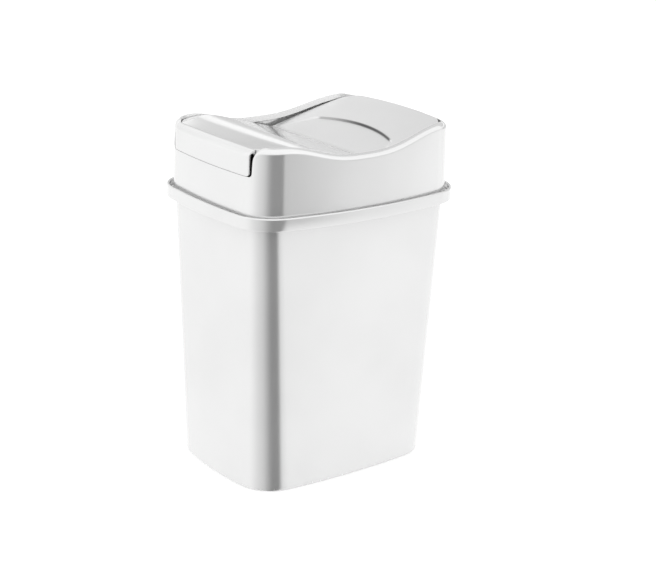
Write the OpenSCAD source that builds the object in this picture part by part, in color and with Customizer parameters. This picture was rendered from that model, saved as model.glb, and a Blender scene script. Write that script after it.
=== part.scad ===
// Countertop waste bin with a swing lid: a tapered bucket, a lift-off hood and a swing lid.
// Millimetres. +Z up, the lid's flap faces -Y, the origin is the centre of the footprint.
// All three pieces are thin mouldings whose walls follow one bowed, round-cornered outline.

/* [Bucket] */
// Half width of the bucket's foot, along X
foot_w = 67; // [62:0.5:70]
// Half length of the bucket's foot, along Y
foot_l = 90; // [84:0.5:92]
// Corner radius of the foot
foot_r = 32; // [24:1:36]
// Height of the rim band's lower edge
rim_z = 217; // [190:1:240]
// Height of the rim band
rim_h = 9.8; // [8:0.2:14]
// How far the rim band stands out from the body
rim_out = 7.2; // [6.6:0.1:8]
// Wall thickness of the bucket
wall = 1.8; // [1.4:0.1:2]
// Bow of the foot's long sides
foot_bow_x = 6.4; // [4:0.1:8]
// Bow of the foot's front and back
foot_bow_y = 8.9; // [6:0.1:10]

/* [Outline] */
// Half width of the rim band, along X
rim_w = 81.5; // [78:0.5:86]
// Half length of the rim band, along Y
rim_l = 103; // [98:0.5:108]
// Corner radius of the rim band
rim_r = 34; // [30:1:38]
// Bow of the long sides
bow_x = 13.9; // [8:0.1:15]
// Bow of the front and the back
bow_y = 7.5; // [5:0.1:10]

/* [Hood] */
// Height of the hood's saddle at its lowest, above the rim band
saddle = 40.4; // [38:0.1:44]
// Rise of the saddle to its front end
rise_front = 10.6; // [8:0.2:13]
// Rise of the saddle to its rear end
rise_rear = 13; // [10:0.2:14]
// Width of the rolled edge round the hood's mouth
edge_w = 4.6; // [4:0.1:5]
// Rounding of that edge on the long sides
edge_r = 4.4; // [3:0.2:5]
// Rounding of that edge at the corners
corner_r = 5.5; // [4:0.5:6]
// Half width of the notch for the flap
notch_w = 53.5; // [50:0.5:55]
// Rounding of the notch's upper corners
notch_r = 6; // [3:0.5:7]
// Height of the notch's sill above the rim band
sill = 28.5; // [26:0.5:31]

/* [Swing lid] */
// Height of the valley across the lid, above the rim band
valley = 30.8; // [29:0.2:31.6]
// Distance of the valley behind the middle
valley_y = 11; // [8:0.5:14]
// Slope of the front half, in degrees
slope_front = 15.7; // [14:0.1:18]
// Slope of the rear half, in degrees
slope_rear = 16.5; // [15:0.1:19]
// Radius between the flap's face and the crest
crest_r = 6; // [5:0.5:8]
// Depth of the level crest behind that radius
crest_run = 20; // [14:0.5:24]
// Radius of the bend from the crest to the front slope
brow_r = 115; // [90:5:130]
// Fall of the crest towards the flap's sides
crown = 1; // [0.2:0.1:1.6]
// Gap on each side of the flap
flap_side = 2.2; // [1:0.1:3]
// Thickness of the lid
lid_t = 2; // [1.6:0.1:2.4]
// Radius of the pivot pins
pin_r = 3; // [2.5:0.1:3.5]
// Depth of the finger recess at its arc
recess = 1.4; // [1:0.1:3]
// Half width of the recess's arc
arc_w = 46; // [42:0.5:50]
// Distance from the valley to the ends of the arc
arc_y = 32; // [26:0.5:34]
// Height of the arc over its ends
arc_sag = 8.4; // [6:0.2:10]

/* [Hidden] */
$fn = 64;

// An outline is [half width, half length, bow of the sides, bow of the ends, corner radius].
rim = [rim_w, rim_l, bow_x, bow_y, rim_r];
foot = [foot_w, foot_l, foot_bow_x, foot_bow_y, foot_r];
rim_top = rim_z + rim_h;

// Inside the rim band a ledge carries the hood, and a thin lip stands round it.
lip_t = 2;
ledge_z = rim_z + 2.2;
mouth_d = rim_out + wall;
floor_t = 2.2;
floor_lift = 1.6;
foot_round = 3;
ring_w = 2.9;

// The hood's foot flange stands on the ledge, and its skirt hangs into the bucket's mouth.
gap = 0.3;
base_z = ledge_z + gap;
base_d = 5.3;
draft = 1 / 45;
hood_t = 1.8;
skirt_h = 7.5;
skirt_z = rim_z - skirt_h;
edge_t = 4.8;
sill_r = 3;
notch_lean = 0.3;
dip_y = -6;
dip_front = 68;
dip_rear = 88;
rear_drop = 1.9;
curve_front = 2.8;
curve_rear = 3.1;

// The lid swings on two pins below its valley, in blind sockets in the hood's sides.
lid_d = 11.8;
lid_skirt = 5;
lid_wall = 1.8;
bevel = 0.5;
rear_short = 2.5;
rear_fill = 2;
flap_w = notch_w - flap_side;
flap_d = 6.1;
flap_gap = 0.3;
flap_t = 0.9;
pin_y = 5;
pin_z = 7.6;
pivot_y = valley_y - pin_y;
pivot_z = rim_top + valley - pin_z;
pin_gap = 0.05;
lug_r = 5.5;
boss_r = 6;
socket_end = 8.3;

function mix(a, b, t) = a + (b - a) * t;
function ease(t) = let (u = min(1, max(0, t))) u * u * (3 - 2 * u);
function bow_radius(half, sag) = (half * half + sag * sag) / (2 * sag);
function side_r(s) = bow_radius(s[1], s[2]);
function end_r(s) = bow_radius(s[0], s[3]);
function side_c(s) = s[0] - side_r(s);
function end_c(s) = s[1] - end_r(s);

// Centre of the corner arc, which touches the side's arc and the end's arc from inside.
function corner(s) = let (
        ax = side_c(s), by = end_c(s), d = norm([ax, by]),
        a = side_r(s) - s[4], b = end_r(s) - s[4],
        t = (a * a - b * b + d * d) / (2 * d), h = sqrt(a * a - t * t)
    ) [ax - (t * ax + h * by) / d, (t * by - h * ax) / d];
function turn_1(s) = let (c = corner(s)) atan2(c[1], c[0] - side_c(s));
function turn_2(s) = let (c = corner(s)) atan2(c[1] - end_c(s), c[0]);

// Point of the first quadrant whose outward normal is at angle a, moved inwards by d.
function spot(s, a, d) =
    a < turn_1(s) ? [side_c(s) + (side_r(s) - d) * cos(a), (side_r(s) - d) * sin(a)] :
    a < turn_2(s) ? corner(s) + (s[4] - d) * [cos(a), sin(a)] :
    [(end_r(s) - d) * cos(a), end_c(s) + (end_r(s) - d) * sin(a)];

// The normal's angle where the outline, moved inwards by d, crosses x near an end.
function angle_at(s, x, d) = let (c = corner(s), r = s[4] - d)
    x < c[0] + r * cos(turn_2(s)) ? acos(x / (end_r(s) - d)) : acos(min(1, (x - c[0]) / r));

// Half length at x, and half width at y, of the outline moved inwards by d.
function end_y(s, x, d) = spot(s, angle_at(s, min(x, corner(s)[0] + 0.999 * (s[4] - d)), d), d)[1];
function half_w(s, y, d) = let (c = corner(s), r = s[4] - d)
    y < c[1] + r * sin(turn_1(s)) ? side_c(s) + sqrt((side_r(s) - d) ^ 2 - y * y) :
    c[0] + sqrt(max(0, r * r - (y - c[1]) ^ 2));

// A station is [x, share, q]: from the normal's angle at x, by a share, to that at q,
// where q runs 0 to 1 along the side, to 2 round the corner and to 3 along the end.
function angle_q(s, q) = q < 1 ? mix(0, turn_1(s), q) :
    q < 2 ? mix(turn_1(s), turn_2(s), q - 1) : mix(turn_2(s), 90, q - 2);
function angle_of(s, st, d) = st[1] == 1 ? angle_q(s, st[2]) :
    mix(angle_at(s, st[0], d), angle_q(s, st[2]), st[1]);

plain = [for (q = [0, 0.25, 0.5, 0.75, 1, 1.13, 1.25, 1.38, 1.5, 1.63, 1.75, 1.88, 2, 2.33, 2.67, 3])
    [0, 1, q]];
notched = concat(
    [for (q = [0, 0.25, 0.5, 0.75, 1, 1.13, 1.25, 1.36]) [0, 1, q]],
    [for (t = [0.66, 0.33]) [notch_w + notch_lean + notch_r, t, 1.36]],
    [for (a = [90:-15:0]) [notch_w + notch_lean + notch_r * (1 - cos(a)), 0, 0]],
    [for (x = [0, -0.25, -1, -2.2, -sill_r]) [notch_w + x, 0, 0]],
    [for (x = [0.72, 0.5, 0.25, 0]) [x * notch_w, 0, 0]]);

function flip(list) = [for (i = [len(list) - 1:-1:0]) list[i]];
function tail(list) = [for (i = [1:len(list) - 1]) list[i]];

// The whole way round, counterclockwise from +X: [station, sign of x, sign of y].
function round_trip(back, front) = concat(
    [for (st = back) [st, 1, 1]],
    [for (st = tail(flip(back))) [st, -1, 1]],
    [for (st = tail(front)) [st, -1, -1]],
    [for (i = [len(front) - 2:-1:1]) [front[i], 1, -1]]);
function place(s, k, d) = let (p = spot(s, angle_of(s, k[0], d), d)) [k[1] * p[0], k[2] * p[1]];

// Triangles between ring i and ring i + 1 of rings with n points, the first below.
function band(i, j, n) = [for (k = [0:n - 1]) let (m = (k + 1) % n)
    each [[i * n + k, j * n + m, i * n + m], [i * n + k, j * n + k, j * n + m]]];

module bucket() {
    trip = round_trip(plain, plain);
    n = len(trip);
    // Each level is [0 at the foot to 1 at the rim, depth inwards, height].
    levels = [
        [0, foot_round * 0.8 + ring_w + 1, floor_lift], [0, foot_round * 0.8 + ring_w, 0],
        [0, foot_round * 0.8, 0], [0, foot_round * 0.25, foot_round * 0.3],
        [0, 0, foot_round], [1, rim_out, rim_z], [1, 0.25 * lip_t, rim_z],
        [1, 0, rim_z + 0.3 * lip_t], [1, 0, rim_top - 0.4 * lip_t],
        [1, 0.25 * lip_t, rim_top], [1, 0.75 * lip_t, rim_top],
        [1, lip_t, rim_top - 0.3 * lip_t], [1, lip_t, ledge_z], [1, mouth_d, ledge_z],
        [0, wall, foot_round + floor_t], [0, wall + foot_round * 0.8, floor_lift + floor_t]];
    points = [for (v = levels) for (k = trip)
        let (p = place(v[0] == 1 ? rim : foot, k, v[1])) [p[0], p[1], v[2]]];
    last = (len(levels) - 1) * n;
    faces = concat(
        [[for (k = [0:n - 1]) k]],
        [for (i = [0:len(levels) - 2]) each band(i, i + 1, n)],
        [[for (k = [n - 1:-1:0]) last + k]]);
    color("gainsboro") polyhedron(points, faces);
}

// Height of the hood's mouth over the point p of its outline.
function saddle_z(y) = let (
        t = y < dip_y ? (dip_y - y) / dip_front : (y - dip_y) / dip_rear,
        rise = y < dip_y ? rise_front : rise_rear,
        curve = y < dip_y ? curve_front : curve_rear
    ) rim_top + saddle + rise * pow(sin(90 * min(1, t)), curve)
        - rear_drop * ease((y - dip_rear + 12) / 18);
function in_notch(p) = p[1] < 0 && abs(p[0]) < notch_w + 0.01;
function quarter(r, x) = r - sqrt(max(0, r * r - max(0, x) ^ 2));
function mouth_z(p) = let (past = abs(p[0]) - notch_w)
    in_notch(p) ? rim_top + sill + quarter(sill_r, past + sill_r) :
    saddle_z(p[1]) - (p[1] > 0 ? 0 : quarter(notch_r, notch_r + notch_lean - past));

module hood_shell() {
    trip = round_trip(plain, notched);
    n = len(trip);
    // The section at one station: [depth inwards, height], up the outside and down inside.
    function section(k) = let (
            p = place(rim, k, 6.3), top = mouth_z(p), cut = in_notch(p),
            r = cut ? 0.6 : mix(edge_r, corner_r, ease((abs(p[1]) - 50) / 30)),
            w = cut ? hood_t : edge_w,
            full = acos(max(0, 1 - (w - 0.5) / r)),
            d = base_d + (top - rim_top) * draft
        ) [
            [lip_t + 0.4, base_z], [lip_t + 0.4, base_z + 2.3], [base_d - 0.3, base_z + 3],
            [base_d, base_z + 3.8], [d - max(r, 3) * draft, top - max(r, 3)],
            each [for (a = [0.22, 0.5, 0.78, 1] * full)
                [d + r * (1 - cos(a)), top - r * (1 - sin(a))]],
            [d + w - 0.4, top - r * (1 - sin(full)) - 0.02], [d + w, top - 0.6],
            [d + w, top - edge_t],
            [d + hood_t, top - edge_t - 0.5], [base_d + hood_t, base_z + 5.6],
            [mouth_d + gap + 2, base_z + 3], [mouth_d + gap + 2.4, skirt_z],
            [mouth_d + gap + 0.8, skirt_z], [mouth_d + gap + 0.2, base_z]];
    sections = [for (k = trip) section(k)];
    m = len(sections[0]);
    points = [for (i = [0:m - 1]) for (k = [0:n - 1])
        let (p = place(rim, trip[k], sections[k][i][0])) [p[0], p[1], sections[k][i][1]]];
    polyhedron(points, [for (i = [0:m - 1]) each band(i, (i + 1) % m, n)]);
}

// A bar along X at the pivot, on the side of the given sign.
module pivot_bar(side, r, x0, x1) {
    translate([side * (x0 + x1) / 2, pivot_y, pivot_z])
        rotate([0, 90, 0])
            cylinder(r = r, h = x1 - x0, center = true);
}

module hood() {
    inner = rim_w - lid_d + 0.5;
    color("whitesmoke") difference() {
        union() {
            hood_shell();
            for (side = [-1, 1])
                pivot_bar(side, boss_r, inner, rim_w - socket_end + 1.4);
        }
        for (side = [-1, 1])
            pivot_bar(side, pin_r + pin_gap, inner - 1, rim_w - socket_end);
    }
}

// The lid's outline at the rear ends short of the hood's, so that it clears it as it swings,
// and is fuller at its corners.
lid_rim = [rim_w, rim_l - rear_short, bow_x, bow_y, rim_r - rear_fill];
valley_z = rim_top + valley;
face_y = -(rim_l - flap_d);
brow_y = face_y + crest_r + crest_run;
slope_y = brow_y + brow_r * sin(slope_front);
slope_z = valley_z + tan(slope_front) * (valley_y - slope_y);
crest_z = slope_z + brow_r * (1 - cos(slope_front));
flap_z = rim_top + sill + flap_gap;
function plate_z(y) = let (u = abs(y - valley_y))
    valley_z + tan(y < valley_y ? slope_front : slope_rear) * (u < 3 ? 1.5 + u * u / 6 : u);

// How far the front face stands back at x, and the half width of a row of the front.
function set_back(x) = end_y(rim, 0, flap_d) - end_y(rim, x, flap_d);
function row_w(y, share, ins, tries = 4) = tries == 0 ? flap_w - ins :
    max(flap_w - ins, half_w(rim, -(y + share * set_back(row_w(y, share, ins, tries - 1))), lid_d + ins));
function front_row(y, z, ins, a) = let (share = pow((slope_y - y) / (slope_y - face_y), 2))
    [row_w(y, share, ins), y, share, z, a];

// Rows of the lid from its rear edge to the flap's foot, moved inwards by ins from the edge.
// A row is [half width, y, share of the end's bow, z or 0 for the plates, angle of depth].
function rear_rows(ins) = [for (a = [86, 76, 64, 50, 34, 20])
    let (p = spot(lid_rim, a, lid_d + ins), share = pow(ease((a - 20) / 66), 2))
    [p[0], p[1] + share * (end_y(lid_rim, 0, lid_d) - end_y(lid_rim, p[0], lid_d)), share, 0, 0]];
function plate_rows(ins) = [
    for (y = [62, 48, 36, 24, valley_y + 3, valley_y + 1.5, valley_y, valley_y - 1.5,
        valley_y - 3, 0, -12, -24, -36, -48, slope_y])
    [half_w(rim, abs(y), lid_d + ins), y, 0, 0, 0]];
function crest_rows(ins) = concat(
    [for (t = [0.8, 0.6, 0.4, 0.2, 0]) let (a = t * slope_front)
        front_row(brow_y + brow_r * sin(a), crest_z - brow_r * (1 - cos(a)), ins, 0)],
    [for (t = [0.75, 0.55, 0.4, 0.3, 0.2, 0.1])
        front_row(mix(face_y + crest_r, brow_y, t), crest_z, ins, 0)],
    [for (a = [0:15:90])
        front_row(face_y + crest_r * (1 - sin(a)), crest_z - crest_r * (1 - cos(a)), ins, a)],
    [for (a = [90, 60, 30, 0])
        [flap_w - sill_r + (sill_r - ins) * sin(a), face_y, 1,
            flap_z + sill_r - (sill_r - ins) * cos(a), 90]]);
columns = [-1, -0.93, -0.86, -0.78, -0.66, -0.5, -0.25, 0, 0.25, 0.5, 0.66, 0.78, 0.86, 0.93, 1];

// The lid's skin, moved inwards by ins from its edges and sunk by depth. The skirt, which
// is deeper than the lid is thick, thins out round the crest to a plain edge on the flap.
function skin(ins, sunk) = [
    for (row = concat(rear_rows(ins), plate_rows(ins), crest_rows(ins))) [
        for (t = columns) let (
            depth = sunk > lid_t ? mix(sunk, flap_t, min(1, row[4] / 60)) : sunk,
            x = t * row[0],
            y = row[1] > 0 ? row[1] - row[2] * (end_y(lid_rim, 0, lid_d) - end_y(lid_rim, abs(x), lid_d)) :
                row[1] + row[2] * set_back(abs(x)),
            fall = crown * row[2] * pow(abs(x) / flap_w, 3) * cos(row[4]),
            z = row[3] == 0 ? plate_z(y) : row[3] - fall
        ) [x, y + depth * sin(row[4]), z - depth * cos(row[4])]]];

module lid_shell() {
    top = skin(bevel, 0);
    under = skin(lid_wall, lid_t);
    rows = len(top);
    cols = len(columns);
    size = rows * cols;
    // The way round a skin's edge, as places in its list of points.
    border = concat(
        [for (j = [0:cols - 1]) j], [for (i = [1:rows - 1]) i * cols + cols - 1],
        [for (j = [cols - 2:-1:0]) (rows - 1) * cols + j], [for (i = [rows - 2:-1:1]) i * cols]);
    n = len(border);
    function edge(s) = let (flat = [for (r = s) each r]) [for (k = border) flat[k]];
    points = concat([for (r = top) each r], [for (r = under) each r],
        edge(skin(0, bevel)), edge(skin(0, lid_skirt)), edge(skin(lid_wall, lid_skirt)));
    function ring(r, k) = r == 0 ? border[k % n] : r == 4 ? size + border[k % n] :
        2 * size + (r - 1) * n + k % n;
    sheet = [for (i = [0:rows - 2]) for (j = [0:cols - 2]) let (a = i * cols + j)
        each [[a, a + 1, a + cols + 1], [a, a + cols + 1, a + cols]]];
    faces = concat(sheet, [for (f = sheet) [for (v = flip(f)) size + v]],
        [for (r = [0:3]) for (k = [0:n - 1])
            each [[ring(r, k), ring(r + 1, k), ring(r + 1, k + 1)],
                [ring(r, k), ring(r + 1, k + 1), ring(r, k + 1)]]]);
    polyhedron(points, faces);
}

// The finger recess: a wedge from the valley to an arc, seen square to its sloping floor.
recess_run = arc_y + arc_sag;
tilt = atan(recess / recess_run);
module recess_plan(more) {
    r = bow_radius(arc_w, arc_sag);
    ends = arc_w + 2;
    foot = arc_w + 18;
    top = arc_w - 4;
    intersection() {
        translate([0, recess_run - r])
            circle(r = r + more, $fn = 200);
        polygon([[-foot - more, 1.5 - more], [foot + more, 1.5 - more], [ends + more, arc_y],
            [top + more, recess_run + 2], [-top - more, recess_run + 2], [-ends - more, arc_y]]);
    }
}
module on_floor() {
    translate([0, valley_y, valley_z])
        rotate([slope_rear - tilt, 0, 0])
            children();
}

module swing_lid() {
    color("white") {
        difference() {
            union() {
                lid_shell();
                difference() {
                    on_floor()
                        translate([0, 0, -lid_t])
                            linear_extrude(lid_t + recess + 1)
                                recess_plan(1.6);
                    translate([0, valley_y, valley_z - lid_t / 2])
                        rotate([slope_rear, 0, 0])
                            translate([-rim_w, -2 * lid_skirt, 0])
                                cube([2 * rim_w, rim_l, 2 * lid_skirt]);
                }
            }
            on_floor()
                linear_extrude(2 * lid_skirt)
                    recess_plan(0);
        }
        for (side = [-1, 1]) {
            pivot_bar(side, lug_r, rim_w - lid_d - 2, rim_w - lid_d);
            pivot_bar(side, pin_r, rim_w - lid_d - 1, rim_w - socket_end - 0.4);
        }
    }
}

bucket();
hood();
swing_lid();
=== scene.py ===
"""A small countertop waste bin: tapered bucket, lift-off hood and swing lid, all moulded in
pale glossy plastic. Metres, +Z up, the flap faces -Y."""

import bpy
import numpy as np
from mathutils import Matrix, Vector


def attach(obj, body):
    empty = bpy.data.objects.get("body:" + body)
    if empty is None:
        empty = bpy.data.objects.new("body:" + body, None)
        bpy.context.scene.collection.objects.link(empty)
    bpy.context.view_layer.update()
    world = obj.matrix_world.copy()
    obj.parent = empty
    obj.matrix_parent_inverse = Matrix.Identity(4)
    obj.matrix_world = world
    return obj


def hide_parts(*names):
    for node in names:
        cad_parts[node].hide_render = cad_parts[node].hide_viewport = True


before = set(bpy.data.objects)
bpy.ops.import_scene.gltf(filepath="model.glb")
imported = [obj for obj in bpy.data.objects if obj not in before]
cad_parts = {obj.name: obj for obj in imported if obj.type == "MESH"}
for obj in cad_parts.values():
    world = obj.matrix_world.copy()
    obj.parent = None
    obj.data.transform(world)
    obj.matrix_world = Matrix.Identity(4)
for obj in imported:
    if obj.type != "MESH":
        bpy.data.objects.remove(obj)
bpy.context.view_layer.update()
scene = bpy.context.scene

# The bucket. One injection moulding in pale glossy polypropylene: a tapered body on a
# standing ring, a band round the rim with a ledge inside it that carries the hood, and a
# thin lip above the ledge. Its plan is a bowed rectangle with round corners.
rim_plan = (0.0815, 0.103, 0.0139, 0.0075, 0.034)
foot_plan = (0.067, 0.090, 0.0064, 0.0089, 0.032)
rim_z, rim_top, ledge_z = 0.217, 0.2268, 0.2192
rim_out, wall, lip = 0.0072, 0.0018, 0.002


def plan_arcs(plan):
    """The arcs of a bowed rectangle: (half squared + bow squared) / (2 bow) is the radius of a
    side's or an end's arc through its middle, and the corner's centre is where circles about
    their centres, smaller by the corner radius, cross. Gives both arcs' centres and radii, the
    corner's centre, and the normal's angle where the corner begins and ends."""
    half_w, half_l, bow_w, bow_l, round_ = plan
    side_r = (half_l**2 + bow_w**2) / (2 * bow_w)
    end_r = (half_w**2 + bow_l**2) / (2 * bow_l)
    ax, by = half_w - side_r, half_l - end_r
    a, b, d = side_r - round_, end_r - round_, np.hypot(ax, by)
    t = (a * a - b * b + d * d) / (2 * d)
    h = np.sqrt(a * a - t * t)
    cx, cy = ax - (t * ax + h * by) / d, (t * by - h * ax) / d
    return ax, by, side_r, end_r, cx, cy, np.arctan2(cy, cx - ax), np.arctan2(cy - by, cx)


def plan_point(plan, inset, angle):
    """The point of the plan's first quarter whose normal is at this angle, moved inwards: the
    centre of the arc it lies on, plus (radius - inset) times the normal."""
    ax, by, side_r, end_r, cx, cy, first, last = plan_arcs(plan)
    on_side, on_end = angle < first, angle > last
    radius = np.where(on_side, side_r, np.where(on_end, end_r, plan[4])) - inset
    x = np.where(on_side, ax, np.where(on_end, 0.0, cx)) + radius * np.cos(angle)
    y = np.where(on_side, 0.0, np.where(on_end, by, cy)) + radius * np.sin(angle)
    return x, y


def quarter_angle(plan, share):
    """Normal angles round a quarter: share 0 to 1 along the side, to 2 round the corner and
    to 3 along the end."""
    first, last = plan_arcs(plan)[6:]
    return np.interp(share, [0, 1, 2, 3], [0, first, last, np.pi / 2])


def all_round(nb, nf):
    """Indices and signs of a whole turn from two quarters of nb and nf stations,
    counterclockwise from +X: the back
    quarter, the same mirrored and reversed, the front quarter mirrored twice, and it reversed
    and mirrored. Front stations follow the back ones in the shared list."""
    pick = np.concatenate([np.arange(nb), np.arange(nb - 2, -1, -1),
                           nb + np.arange(1, nf), nb + np.arange(nf - 2, 0, -1)])
    sx = np.concatenate([np.ones(nb), -np.ones(nb - 1), -np.ones(nf - 1), np.ones(nf - 2)])
    sy = np.concatenate([np.ones(2 * nb - 1), -np.ones(2 * nf - 3)])
    return pick, sx, sy


def eased(corners, cuts, steps):
    """Rounds the corners of profiles, held as (corner, station, 2): each corner c gives the
    curve (1-t)^2 a + 2t(1-t) c + t^2 b, where a and b lie its cut away on either side. A
    corner whose cut is 0 stays a point."""
    before, after = np.roll(corners, 1, 0), np.roll(corners, -1, 0)
    t = np.linspace(0, 1, steps)[:, None, None]
    out = []
    for i, (c, p, n, cut) in enumerate(zip(corners, before, after, cuts)):
        if cut == 0:
            out.append(c[None])
            continue
        to_p, to_n = p - c, n - c
        lp = np.linalg.norm(to_p, axis=1, keepdims=True)
        ln = np.linalg.norm(to_n, axis=1, keepdims=True)
        a = c + to_p / lp * np.minimum(cut, 0.45 * lp)
        b = c + to_n / ln * np.minimum(cut, 0.45 * ln)
        out.append((1 - t) ** 2 * a + 2 * t * (1 - t) * c + t * t * b)
    return np.concatenate(out)


def shell_mesh(name, rings, closed):
    """A mesh from rings of points, (ring, station, 3): every ring joins the next, and the last
    the first if closed, else each end is filled by a fan about its middle."""
    m, n = rings.shape[:2]
    k = np.arange(n)
    i = np.arange(m if closed else m - 1)[:, None]
    a, b = i * n + k, i * n + (k + 1) % n
    c, d = (i + 1) % m * n + (k + 1) % n, (i + 1) % m * n + k
    quads = np.stack([a, b, c, d], -1).reshape(-1, 4)
    points = rings.reshape(-1, 3)
    faces = quads.tolist()
    if not closed:
        points = np.vstack([points, rings[0].mean(0), rings[-1].mean(0)])
        last = (m - 1) * n
        faces += np.stack([(k + 1) % n, k, np.full(n, m * n)], -1).tolist()
        faces += np.stack([last + k, last + (k + 1) % n, np.full(n, m * n + 1)], -1).tolist()
    return finished_mesh(name, points, faces)


def finished_mesh(name, points, faces):
    """An object at the origin with this mesh, shaded smooth except over edges that turn by
    more than 0.9 radians."""
    mesh = bpy.data.meshes.new(name)
    mesh.from_pydata(points.tolist(), [], faces)
    mesh.polygons.foreach_set("use_smooth", np.ones(len(mesh.polygons), bool))
    mesh.set_sharp_from_angle(angle=0.9)
    mesh.validate()
    piece = bpy.data.objects.new(name, mesh)
    scene.collection.objects.link(piece)
    return piece


def bucket_point(depth, z, angles, pick, sx, sy):
    """A point of the bucket at a depth inwards from the body's face: the foot's plan and the
    rim's plan, taken at the same station, mixed by height."""
    t = np.clip((z - 0.003) / (rim_z - 0.003), 0, 1)
    fx, fy = plan_point(foot_plan, depth, angles[0])
    rx, ry = plan_point(rim_plan, rim_out + depth, angles[1])
    x, y = (fx + (rx - fx) * t)[:, pick] * sx, (fy + (ry - fy) * t)[:, pick] * sy
    return np.stack([x, y, np.broadcast_to(z, x.shape)], -1)


share = np.concatenate([np.linspace(0, 1, 24, False), np.linspace(1, 2, 40, False),
                        np.linspace(2, 3, 21)])
profile = np.array([  # depth inwards, height, cut
    (0.0100, 0.0016, 0), (0.0058, 0.0016, 0.0006), (0.0053, 0.0000, 0.0005),
    (0.0000, 0.0000, 0.0027), (0.0000, rim_z, 0.0007), (-rim_out, rim_z, 0.0009),
    (-rim_out, rim_top, 0.0011), (lip - rim_out, rim_top, 0.0008),
    (lip - rim_out, ledge_z, 0.0005), (wall, ledge_z, 0.0009), (wall, 0.0038, 0.0040),
    (0.0100, 0.0038, 0)])
corners = profile[:, None, :2]
section = eased(corners, profile[:, 2], 9)
pick, sx, sy = all_round(len(share), len(share))
angles = [np.concatenate([quarter_angle(p, share)] * 2) for p in (foot_plan, rim_plan)]
rings = bucket_point(section[:, :, 0], section[:, :, 1], angles, pick, sx, sy)
bucket = shell_mesh("bucket_shell", rings, False)


class Shade:
    """A socket of a material, with arithmetic: each operator adds the Math node it names."""

    def __init__(self, tree, socket):
        self.tree, self.socket = tree, socket

    def node(self, kind, settings=(), **inputs):
        """Adds a node of this type with these settings, then fills the sockets named by
        keyword (underscores for spaces) or by number (as _0, _1), from values or links."""
        made = self.tree.nodes.new(kind)
        for key, value in dict(settings).items():
            setattr(made, key, value)
        for key, value in inputs.items():
            socket = made.inputs[int(key[1:])] if key[0] == "_" else made.inputs[key.replace("_", " ")]
            if isinstance(value, Shade):
                self.tree.links.new(value.socket, socket)
            else:
                socket.default_value = value
        return made

    def out(self, made, name=0):
        return Shade(self.tree, made.outputs[name])

    def maths(self, operation, *values):
        sockets = {f"_{i}": v for i, v in enumerate(values)}
        return self.out(self.node("ShaderNodeMath", {"operation": operation}, **sockets))

    def __add__(self, other):
        return self.maths("ADD", self, other)

    def __sub__(self, other):
        return self.maths("SUBTRACT", self, other)

    def __rsub__(self, other):
        return self.maths("SUBTRACT", other, self)

    def __mul__(self, other):
        return self.maths("MULTIPLY", self, other)

    __radd__, __rmul__ = __add__, __mul__

    def between(self, low, high):
        """0 below low, 1 above high, and smooth in between."""
        made = self.node("ShaderNodeMapRange", {"interpolation_type": "SMOOTHSTEP"},
                         Value=self, From_Min=low, From_Max=high)
        return self.out(made)

    def mixed(self, one, other):
        """Colour one where this is 0 and colour other where it is 1."""
        made = self.node("ShaderNodeMix", {"data_type": "RGBA"}, _0=self, _6=one, _7=other)
        return self.out(made, 2)


def moulded_plastic(name, tint, rub_height, seed):
    """Pale glossy polypropylene with a faint pearl: a slow drift of tone from the melt's flow,
    a fine peel, long handling scratches that dull it, scuffs below a height, and painted shade
    that darkens the colour to near black where a mesh's arc_shade attribute is set."""
    material = bpy.data.materials.new(name)
    material.use_nodes = True
    tree = material.node_tree
    surface = tree.nodes["Principled BSDF"]
    start = Shade(tree, None)
    place = start.out(start.node("ShaderNodeTexCoord"), "Object")

    def noise(scale, detail, stretch=(1, 1, 1)):
        mapping = start.node("ShaderNodeMapping", Vector=place, Scale=stretch,
                             Location=(seed, 2 * seed, 3 * seed))
        made = start.node("ShaderNodeTexNoise", Vector=start.out(mapping), Scale=scale,
                          Detail=detail, Roughness=0.55)
        return start.out(made)

    flow = noise(11, 2)
    cloud = noise(38, 4)
    peel = noise(900, 2)
    upright = noise(60, 3, (7, 7, 0.22)).between(0.66, 0.76)
    sloping = noise(48, 3, (0.35, 6, 6)).between(0.68, 0.78)
    height = start.out(start.node("ShaderNodeSeparateXYZ", Vector=place), "Z")
    low = 1 - height.between(rub_height, rub_height + 0.004)
    scuff = low * noise(420, 3).between(0.42, 0.7)
    deeper = tuple(0.955 * c for c in tint)
    duller = tuple(0.80 * c for c in tint)
    arc_shade = start.out(start.node("ShaderNodeAttribute", {"attribute_name": "arc_shade"}), "Fac")
    satin = start.out(start.node("ShaderNodeAttribute", {"attribute_name": "satin"}), "Fac")
    toned = flow.between(0.3, 0.7).mixed((*tint, 1), (*deeper, 1))
    scuffed = (scuff * 0.5).mixed(toned, (*duller, 1))
    # Painted shade: the base colour goes to near black where arc_shade is 1, along the foot of the lid's
    # recess arc.
    shade_painted = arc_shade.mixed(scuffed, (0.06, 0.06, 0.06, 1))
    rough = 0.11 + cloud * 0.05 + upright * 0.05 + sloping * 0.04 + scuff * 0.3 + satin * 0.2
    relief = peel * 0.5 + flow * 6.0 + upright * -0.4
    bump = start.node("ShaderNodeBump", Height=relief, Strength=0.35, Distance=0.00006)
    tree.links.new(shade_painted.socket, surface.inputs["Base Color"])
    tree.links.new(rough.socket, surface.inputs["Roughness"])
    tree.links.new(bump.outputs[0], surface.inputs["Normal"])
    surface.inputs["Metallic"].default_value = 0.62
    surface.inputs["IOR"].default_value = 1.5
    surface.inputs["Coat Weight"].default_value = 0.5
    surface.inputs["Coat Roughness"].default_value = 0.04
    return material


bucket.data.materials.append(moulded_plastic("bucket_plastic", (0.88, 0.88, 0.88), 0.0008, 0.3))
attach(bucket, "bucket_body")
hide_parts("bucket")

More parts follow.
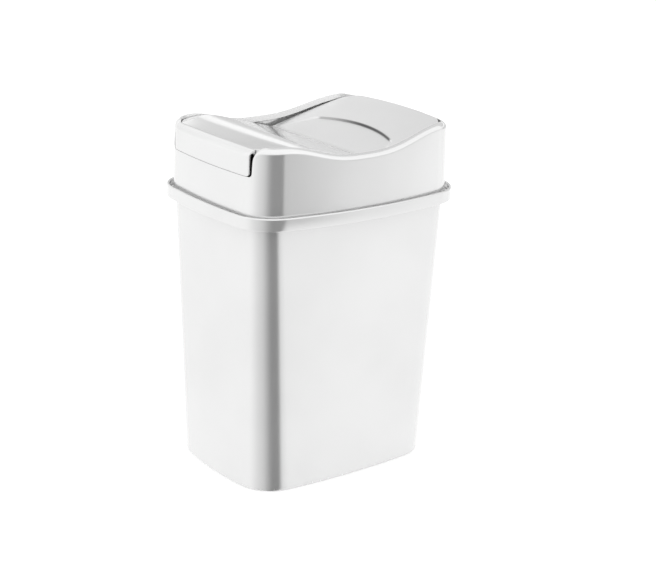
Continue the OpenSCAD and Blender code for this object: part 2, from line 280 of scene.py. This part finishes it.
# The hood. One moulding in the same plastic that lifts off the bucket: a flange and a skirt
# locate it on the ledge and in the mouth, its long sides dip like a saddle, and a rolled
# edge runs round its mouth. The front is notched for the lid's flap. Inside each long side
# a round boss with a blind socket carries one of the lid's pins.
base_z, skirt_z = 0.2195, 0.2095
notch_w, sill_z, sill_round = 0.0535, 0.2553, 0.003
notch_r, notch_lean = 0.006, 0.0003
dip_z, rise_front, rise_rear = 0.2672, 0.0106, 0.013
dip_y, dip_front, dip_rear, rear_drop = -0.006, 0.068, 0.088, 0.0019
hood_wall, edge_w, edge_r, corner_r, edge_t = 0.0018, 0.0046, 0.0044, 0.0055, 0.0048
pivot = np.array([0, 0.006, 0.250])
socket_r, boss_r, boss_in, boss_out, socket_end = 0.00305, 0.006, 0.0702, 0.0746, 0.0732


def angle_at(plan, x, inset):
    """The normal's angle where the plan, moved inwards, crosses x near an end: the arc
    cosine of the distance from the centre of the end's arc, or of the corner's."""
    ax, by, side_r, end_r, cx, cy, first, last = plan_arcs(plan)
    r = plan[4] - inset
    end = np.arccos(np.clip(x / (end_r - inset), -1, 1))
    return np.where(x < cx + r * np.cos(last), end, np.arccos(np.clip((x - cx) / r, -1, 1)))


def ease(t):
    """3 t^2 - 2 t^3 between 0 and 1."""
    t = np.clip(t, 0, 1)
    return t * t * (3 - 2 * t)


def saddle_z(y):
    """Height of the long sides' edge: the dip plus the rise times a power of the sine of the
    share of the way to the front (2.8) or the rear end (3.1), less a fall over the rear wall."""
    front = y < dip_y
    way = np.where(front, (dip_y - y) / dip_front, (y - dip_y) / dip_rear)
    s = np.sin(np.pi / 2 * np.clip(way, 0, 1))
    rise = np.where(front, rise_front * s**2.8, rise_rear * s**3.1)
    return dip_z + rise - rear_drop * ease((y - 0.076) / 0.018)


def quarter(radius, x):
    """Drop of a quarter circle: radius - sqrt(radius^2 - x^2) for x from 0 to the radius."""
    return radius - np.sqrt(np.maximum(0, radius**2 - np.maximum(0, x) ** 2))


def notch_z(x):
    """Height of the notch's edge: the sill's, rising by quarter circles at its ends."""
    return sill_z + quarter(sill_round, np.abs(x) - notch_w + sill_round)


front_q = np.concatenate([np.linspace(0, 1, 24, False), np.linspace(1, 1.36, 18)])
bend = sill_round * np.cos(np.linspace(1.3, 0, 10))
front_x = notch_w + np.concatenate([
    notch_lean + notch_r * (1 - np.cos(np.linspace(np.pi / 2, 0, 16))),
    np.linspace(notch_lean, 0, 7)[1:], [-0.00012],
    np.sqrt(sill_round**2 - bend**2) - sill_round])
front_x = np.concatenate([front_x, np.linspace(notch_w - sill_round - 0.002, 0, 24)])
blend = np.linspace(1, 0, 12)[1:-1]
anchor = np.concatenate([np.full(len(share) + len(front_q) + len(blend), front_x[0]), front_x])
turned = np.concatenate([share, front_q, np.full(len(blend), front_q[-1]), np.zeros(len(front_x))])
leaning = np.concatenate([np.ones(len(share) + len(front_q)), blend, np.zeros(len(front_x))])
hood_pick, hood_sx, hood_sy = all_round(len(share), len(front_q) + len(blend) + len(front_x))


def hood_ring(inset):
    """x and y round the hood at an inset: each station's normal angle is mixed between that
    at its own x and that at its share of the quarter, so that the notch's ends stay flat."""
    own = angle_at(rim_plan, anchor[hood_pick], inset)
    angle = own + (quarter_angle(rim_plan, turned[hood_pick]) - own) * leaning[hood_pick]
    x, y = plan_point(rim_plan, inset, angle)
    return x * hood_sx, y * hood_sy


x, y = hood_ring(0.0063)
whole = np.where(y > 0, 1, ease((np.abs(x) - notch_w) / notch_lean))
drop = np.where(y > 0, 0, quarter(notch_r, notch_r + notch_lean + notch_w - np.abs(x)))
top = notch_z(x) + (saddle_z(y) - drop - notch_z(x)) * whole
roll = 0.0006 + (edge_r + (corner_r - edge_r) * ease((np.abs(y) - 0.050) / 0.030) - 0.0006) * whole
edge = hood_wall + (edge_w - hood_wall) * whole
face = 0.0053 + (top - rim_top) / 45
full = np.arccos(np.maximum(0, 1 - (edge - 0.0005) / roll))
one = np.ones(len(x))
corner_list = [
    (0.0024 * one, base_z * one, 0.0004), (0.0024 * one, (base_z + 0.0026) * one, 0.0008),
    (0.0052 * one, (base_z + 0.0031) * one, 0.0009)]
corner_list += [(face + roll * (1 - np.cos(a)), top - roll * (1 - np.sin(a)), 0)
                for a in full * np.linspace(0, 1, 12)[:, None]]
corner_list += [
    (face + edge, top - roll * (1 - np.sin(full)) - 0.0001, 0.0004), (face + edge, top - edge_t, 0.0004),
    (face + hood_wall, top - edge_t - 0.0005, 0.0006), (0.0071 * one, (base_z + 0.0056) * one, 0.001),
    (0.0113 * one, (base_z + 0.003) * one, 0.001), (0.0117 * one, skirt_z * one, 0.0005),
    (0.0101 * one, skirt_z * one, 0.0005), (0.0095 * one, base_z * one, 0.0003)]
corners = np.array([np.stack([d, z], -1) for d, z, _ in corner_list])
section = eased(corners, [c for _, _, c in corner_list], 8)
rings = np.array([np.stack([*hood_ring(depth), z], -1)
                  for depth, z in zip(section[..., 0], section[..., 1])])
hood = shell_mesh("hood_shell", rings, True)


def turned_piece(name, profile, side):
    """A solid of revolution about the pivot's axis along X: profile points are (x, radius),
    carried round by angle a to (x, radius cos a, radius sin a)."""
    a = np.linspace(0, 2 * np.pi, 64, False)
    x, r = np.array(profile).T[:, :, None]
    rings = np.stack([side * (x + 0 * a), r * np.cos(a), r * np.sin(a)], -1) + pivot
    return shell_mesh(name, rings[::side], False)


hood_plastic = moulded_plastic("hood_plastic", (0.88, 0.88, 0.88), 0.2100, 1.7)
boss_profile = [(socket_end, socket_r * 0.5), (socket_end, socket_r), (boss_in + 0.0003, socket_r),
                (boss_in, socket_r + 0.0003), (boss_in, boss_r - 0.0004), (boss_in + 0.0004, boss_r),
                (boss_out, boss_r)]
bosses = [turned_piece(f"pivot_boss_{label}", boss_profile, side)
          for label, side in (("left", -1), ("right", 1))]
for piece in (hood, *bosses):
    piece.data.materials.append(hood_plastic)
    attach(piece, "hood_body")
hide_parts("hood")

# The swing lid. One moulding that tips in the hood's mouth on two pins below its valley.
# Its front half rises to a rounded crest and turns down into the flap that fills the
# notch; its rear half is a plane with a shallow finger recess that ends in an arc. A
# skirt runs round its edge.
lid_inset, lid_wall, lid_t, lid_skirt = 0.0118, 0.0018, 0.002, 0.005
lid_plan = (0.0815, 0.1005, 0.0139, 0.0075, 0.032)
valley_y, valley_z = 0.011, 0.25757
slope_front, slope_rear = np.radians(15.7), np.radians(16.5)
flap_w, flap_inset, flap_edge = 0.0513, 0.0061, 0.0009
crest_r, crest_run, brow_r, crown = 0.006, 0.020, 0.115, 0.001
face_y = -(rim_plan[1] - flap_inset)
brow_y = face_y + crest_r + crest_run
slope_y = brow_y + brow_r * np.sin(slope_front)
slope_z = valley_z + np.tan(slope_front) * (valley_y - slope_y)
crest_z = slope_z + brow_r * (1 - np.cos(slope_front))
flap_z = sill_z + 0.00012
arc_w, arc_y, arc_sag, recess = 0.046, 0.032, 0.0084, 0.0014
arc_mid = valley_y + (arc_y + arc_sag) * np.cos(slope_rear)


def end_y(plan, x, inset):
    """Half length of the plan at x, moved inwards."""
    ax, by, side_r, end_r, cx, cy, first, last = plan_arcs(plan)
    x = np.minimum(np.abs(x), cx + 0.999 * (plan[4] - inset))
    return plan_point(plan, inset, angle_at(plan, x, inset))[1]


def half_width(plan, y, inset):
    """Half width of the plan at y, moved inwards."""
    ax, by, side_r, end_r, cx, cy, first, last = plan_arcs(plan)
    r = plan[4] - inset
    side = ax + np.sqrt((side_r - inset) ** 2 - y * y)
    corner = cx + np.sqrt(np.maximum(0, r * r - (y - cy) ** 2))
    return np.where(y < cy + r * np.sin(first), side, corner)


def plate_z(y):
    """Height of the two plates: the valley's plus the slope times the distance from it, with
    the valley's bottom rounded over 3 mm."""
    u = np.abs(y - valley_y)
    return valley_z + np.tan(np.where(y < valley_y, slope_front, slope_rear)) * np.where(
        u < 0.003, 0.0015 + u * u / 0.006, u)


def arc_back(x):
    """How far the recess's arc has come forwards at x, measured down the slope: radius -
    sqrt(radius^2 - x^2), held from a little past its ends."""
    radius = (arc_w**2 + arc_sag**2) / (2 * arc_sag)
    return radius - np.sqrt(radius**2 - np.minimum(np.abs(x), arc_w + 0.003) ** 2)


def row_shift(x, y):
    """How far a row of the rear plate comes forwards at x to run beside the arc: all of the
    arc's own shift at the arc, and less towards the valley and the rear edge."""
    share = np.interp(y, [valley_y + 0.004, arc_mid - 0.002, arc_mid + 0.002, 0.0655], [0, 1, 1, 0])
    return share * arc_back(x) * np.cos(slope_rear)


def recess_depth(x, y, spread):
    """Depth of the finger recess: it grows evenly from the valley to the arc, and falls to
    nothing steeply across the arc and softly across its two straight sides."""
    run = arc_y + arc_sag
    along = (y - valley_y) / np.cos(slope_rear)
    to_arc = run - arc_back(x) - along
    to_side = arc_w + 0.0025 + 0.55 * (arc_y - along) - np.abs(x)
    return recess * np.clip(along / run, 0, 1) * ease(0.5 + to_arc / spread) * ease(0.5 + to_side / 0.003)


def front_rows(y, z, depth_angle, inset):
    """Rows of the crest and the flap: a row stands back towards its ends as the hood's front
    does, by a share that grows with the square of the way from the slope to the face. Its
    half width is the plan's there, but never less than the flap's."""
    share = ((slope_y - y) / (slope_y - face_y)) ** 2
    half = np.full_like(y, flap_w - inset)
    for _ in range(12):
        back = end_y(rim_plan, 0, flap_inset) - end_y(rim_plan, half, flap_inset)
        half = np.maximum(flap_w - inset, half_width(rim_plan, -(y + share * back), lid_inset + inset))
    return np.stack([half, y, share, z, depth_angle])


def lid_rows(inset):
    """All rows from the rear edge to the flap's foot, as half width, y, share of the bow,
    height (0 where the plates give it) and the angle in which the thickness runs."""
    a = np.radians(np.linspace(86, 16, 22))
    x, y = plan_point(lid_plan, lid_inset + inset, a)
    share = ease((np.degrees(a) - 16) / 70) ** 2
    bow = end_y(lid_plan, 0, lid_inset) - end_y(lid_plan, x, lid_inset)
    rear = np.stack([x, y + share * bow, share, 0 * x, 0 * x])
    y = np.concatenate([np.arange(0.0655, arc_mid + 0.0012, -0.0013),
                        arc_mid + np.arange(0.0010, -0.0011, -0.00012),
                        np.arange(arc_mid - 0.002, valley_y + 0.0045, -0.0015),
                        valley_y + np.linspace(0.0035, -0.0035, 11),
                        np.arange(valley_y - 0.006, slope_y, -0.003), [slope_y]])
    at_edge = np.abs(y - row_shift(0.06, y))
    plates = np.stack([half_width(rim_plan, at_edge, lid_inset + inset), y, 0 * y, 0 * y, 0 * y])
    b = np.linspace(slope_front, 0, 16)[1:]
    brow = front_rows(brow_y + brow_r * np.sin(b), crest_z - brow_r * (1 - np.cos(b)), 0 * b, inset)
    y = np.linspace(brow_y, face_y + crest_r, 18)[1:-1]
    level = front_rows(y, np.full_like(y, crest_z), 0 * y, inset)
    c = np.linspace(0, np.pi / 2, 20)
    crest = front_rows(face_y + crest_r * (1 - np.sin(c)), crest_z - crest_r * (1 - np.cos(c)), c, inset)
    e = np.linspace(np.pi / 2, 0, 8)
    corner = sill_round - inset
    foot = np.stack([flap_w - sill_round + corner * np.sin(e), 0 * e + face_y, 0 * e + 1,
                     flap_z + sill_round - corner * np.cos(e), 0 * e + np.pi / 2])
    return np.concatenate([rear, plates, brow, level, crest, foot], 1)


side_columns = np.concatenate([np.linspace(0, 0.70, 20, False), np.linspace(0.70, 0.96, 44, False),
                               np.linspace(0.96, 1, 4)])
columns = np.concatenate([-side_columns[:0:-1], side_columns])


def lid_skin(inset, depth, spread=0.0006):
    """The lid's skin, moved inwards from its edges and sunk by a depth: each row is spread
    over its half width, stands back by its share of the bow, and takes its height from
    itself or from the plates, less the recess. The skirt thins out to a plain edge on the flap."""
    half, y, share, z, turn = (row[:, None] for row in lid_rows(inset))
    if depth > lid_t:
        depth = depth + (flap_edge - depth) * np.clip(turn / np.radians(60), 0, 1)
    x = columns * half
    bow_rear = end_y(lid_plan, 0, lid_inset) - end_y(lid_plan, x, lid_inset)
    bow_front = end_y(rim_plan, 0, flap_inset) - end_y(rim_plan, x, flap_inset)
    py = np.where(y > 0, y - share * bow_rear - row_shift(x, y), y + share * bow_front)
    fall = crown * share * (np.abs(x) / flap_w) ** 3 * np.cos(turn)
    pz = np.where(z == 0, plate_z(py) - recess_depth(x, py, spread), z - fall)
    return np.stack([x, py + depth * np.sin(turn), pz - depth * np.cos(turn)], -1)


def lid_mesh():
    """The lid's closed mesh: an outer and an inner skin, joined round their edges by rings
    that round the edge over and go down and up the skirt."""
    outer, inner = lid_skin(0.0005, 0), lid_skin(lid_wall, lid_t, 0.004)
    rows, cols = outer.shape[:2]
    index = np.arange(rows * cols).reshape(rows, cols)
    border = np.concatenate([index[0], index[1:, -1], index[-1, -2::-1], index[-2:0:-1, 0]])
    bends = [(0.0005 * (1 - np.sin(a)), 0.0005 * (1 - np.cos(a))) for a in np.radians([22, 45, 68, 90])]
    bends += [(0, lid_skirt - 0.0003), (0.0003, lid_skirt), (lid_wall - 0.0003, lid_skirt),
              (lid_wall, lid_skirt - 0.0003)]
    edges = [lid_skin(i, d).reshape(-1, 3)[border] for i, d in bends]
    points = np.concatenate([outer.reshape(-1, 3), inner.reshape(-1, 3), *edges])
    n, size = len(border), rows * cols
    rings = [border] + [2 * size + e * n + np.arange(n) for e in range(len(edges))] + [size + border]
    sheet = np.stack([index[:-1, :-1], index[:-1, 1:], index[1:, 1:], index[1:, :-1]], -1).reshape(-1, 4)
    faces = [sheet[:, ::-1], size + sheet]
    for up, down in zip(rings[:-1], rings[1:]):
        faces.append(np.stack([up, np.roll(up, -1), np.roll(down, -1), down], -1))
    return points, np.concatenate(faces).tolist()


lid_points, lid_faces = lid_mesh()
swing_lid = finished_mesh("swing_lid_shell", lid_points, lid_faces)
# Painted shade along the foot of the recess's arc wall. arc_shade is 1 at the arc, fades over about a
# millimetre, stops past the arc's ends and is stronger towards +X. The material darkens the colour by it.
along = (lid_points[:, 1] - valley_y) / np.cos(slope_rear)
off_arc = along - (arc_y + arc_sag - arc_back(lid_points[:, 0]))
arc_shade = np.exp(-((off_arc / 0.0009) ** 2)) * ease((arc_w + 0.002 - np.abs(lid_points[:, 0])) / 0.004)
arc_shade *= 0.5 + 0.5 * ease((lid_points[:, 0] + 0.045) / 0.05)
satin = ease((lid_points[:, 1] - valley_y + 0.004) / 0.006)
for label, values in (("arc_shade", arc_shade), ("satin", satin)):
    swing_lid.data.attributes.new(label, "FLOAT", "POINT").data.foreach_set("value", values)
lug_r, pin_r, lug_in, lug_out, pin_end = 0.0055, 0.003, 0.0677, 0.0697, 0.0728
pin_profile = [(lug_in, 0.0045), (lug_in + 0.0003, lug_r), (lug_out - 0.0003, lug_r),
               (lug_out, lug_r - 0.0003), (lug_out, pin_r + 0.0003), (lug_out + 0.0003, pin_r),
               (pin_end - 0.0004, pin_r), (pin_end, pin_r - 0.0004)]
pins = [turned_piece(f"pivot_pin_{label}", pin_profile, side)
        for label, side in (("left", -1), ("right", 1))]
lid_plastic = moulded_plastic("lid_plastic", (0.88, 0.88, 0.88), 0.10, 4.1)
for piece in (swing_lid, *pins):
    piece.data.materials.append(lid_plastic)
    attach(piece, "lid_body")
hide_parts("swing_lid")

# The floor: a plain pale sheet under the bin.
floor_mesh = bpy.data.meshes.new("floor")
floor_mesh.from_pydata([(-6, -6, 0), (6, -6, 0), (6, 6, 0), (-6, 6, 0)], [], [(0, 1, 2, 3)])
floor = bpy.data.objects.new("floor", floor_mesh)
scene.collection.objects.link(floor)
floor_paint = bpy.data.materials.new("floor_paint")
floor_paint.use_nodes = True
floor_sheet = floor_paint.node_tree.nodes["Principled BSDF"]
floor_sheet.inputs["Base Color"].default_value = (0.6, 0.6, 0.6, 1)
floor_sheet.inputs["Roughness"].default_value = 0.9
floor_sheet.inputs["Specular IOR Level"].default_value = 0
floor_sheet.inputs["Emission Color"].default_value = (1, 1, 1, 1)
start = Shade(floor_paint.node_tree, None)
seen = start.out(start.node("ShaderNodeLightPath"), "Is Camera Ray") * 0.56
floor_paint.node_tree.links.new(seen.socket, floor_sheet.inputs["Emission Strength"])
floor.data.materials.append(floor_paint)
floor.visible_glossy = False

# The studio: an even pale surround and two soft panels. Glossy rays see it with a dark gap
# that the near corner mirrors, and greyer parts beside, behind, below and above it.
world = bpy.data.worlds.new("studio")
scene.world = world
world.use_nodes = True
sky = world.node_tree
start = Shade(sky, None)
ray = start.out(start.node("ShaderNodeTexCoord"), "Generated")
direction = start.node("ShaderNodeSeparateXYZ", Vector=ray)
dx, dy, dz = (start.out(direction, n) for n in "XYZ")
around = start.maths("ARCTAN2", dx, dy * -1)
raised = dz.between(-0.40, -0.24)
near_side = around.between(-0.2, 0.65) * 0.42 + around.between(0.5, 1.15) * 0.58
sharp_end = around.between(1.38 + raised * 0.20, 1.64 + raised * 0.26)
soft_end = around.between(1.5 + raised * 0.15, 1.95)
gap = near_side * (1 - sharp_end * 0.75 - soft_end * 0.25) * (1 - dz.between(-0.05, 0.25))
fading = (1 - around.between(1.85, 2.2)) * 0.30 + (1 - around.between(2.0, 2.9)) * 0.22
beside = fading * sharp_end * (1 - dz.between(0.0, 0.2)) * (dz.between(-0.33, -0.26) * 0.85 + 0.15)
behind = (1 - around.between(-2.1, -1.9)) + around.between(2.8, 3.1)
high = behind * (dz.between(0.18, 0.215) * 0.50 - dz.between(0.25, 0.45) * 0.06)
low = behind * dz.between(-0.2, -0.12) * (1 - dz.between(0.04, 0.10)) * 0.42
front_high = dz.between(-0.05, 0.2) * (1 - behind) * (1 - around.between(-0.9, -0.3)) * 0.12
seam = around.between(1.95, 2.15) * (1 - around.between(2.75, 2.9)) * 0.25
seam = seam * dz.between(-0.16, -0.08) * (1 - dz.between(0.0, 0.12))
mirrored = 1.07 * (1 - gap) * (1 - beside - high - low - front_high - seam)
path = start.node("ShaderNodeLightPath")
seen = start.out(path, "Is Camera Ray")
glossy = start.maths("MAXIMUM", start.out(path, "Is Glossy Ray"), start.out(path, "Is Transmission Ray"))
level = seen + glossy * mirrored + (1 - seen - glossy) * 1.1
background = sky.nodes["Background"]
background.inputs["Color"].default_value = (1, 1, 1, 1)
sky.links.new(level.socket, background.inputs["Strength"])


def soft_panel(name, place, aim, size, power):
    """A square area lamp at a place, turned to face a point."""
    lamp = bpy.data.lights.new(name, "AREA")
    lamp.shape, lamp.size, lamp.energy = "SQUARE", size, power
    holder = bpy.data.objects.new(name, lamp)
    scene.collection.objects.link(holder)
    towards = np.array(aim) - np.array(place)
    holder.rotation_euler = Vector(towards).to_track_quat("-Z", "Y").to_euler()
    holder.location = place
    return holder


soft_panel("left_panel", (-1.3, -1.6, 0.9), (0, 0, 0.15), 1.4, 0.4)
soft_panel("right_panel", (1.9, 1.0, 0.9), (0, 0, 0.15), 1.4, 0.4)

# The camera, where the photograph was taken: front right, a little above.
az, el, roll = np.radians([53.57, 19.52, 1.67])
behind = np.array([np.sin(az) * np.cos(el), -np.cos(az) * np.cos(el), np.sin(el)])
right = np.array([np.cos(az), np.sin(az), 0])
upwards = np.cross(behind, right)
tilted_right = right * np.cos(roll) + upwards * np.sin(roll)
tilted_up = upwards * np.cos(roll) - right * np.sin(roll)
stand = np.array([0, 0, 0.12027]) + behind * 1.25401
camera = bpy.data.objects.new("camera", bpy.data.cameras.new("camera"))
scene.collection.objects.link(camera)
turn = np.stack([tilted_right, tilted_up, behind, stand], 1)
camera.matrix_world = Matrix(np.vstack([turn, [0, 0, 0, 1]]).tolist())
camera.data.sensor_width = 36
camera.data.lens = 1541.09 * 36 / 656
camera.data.shift_x = (328 - 306.06) / 656
camera.data.shift_y = (310 - 284) / 656
scene.camera = camera

scene.view_settings.view_transform = "Standard"
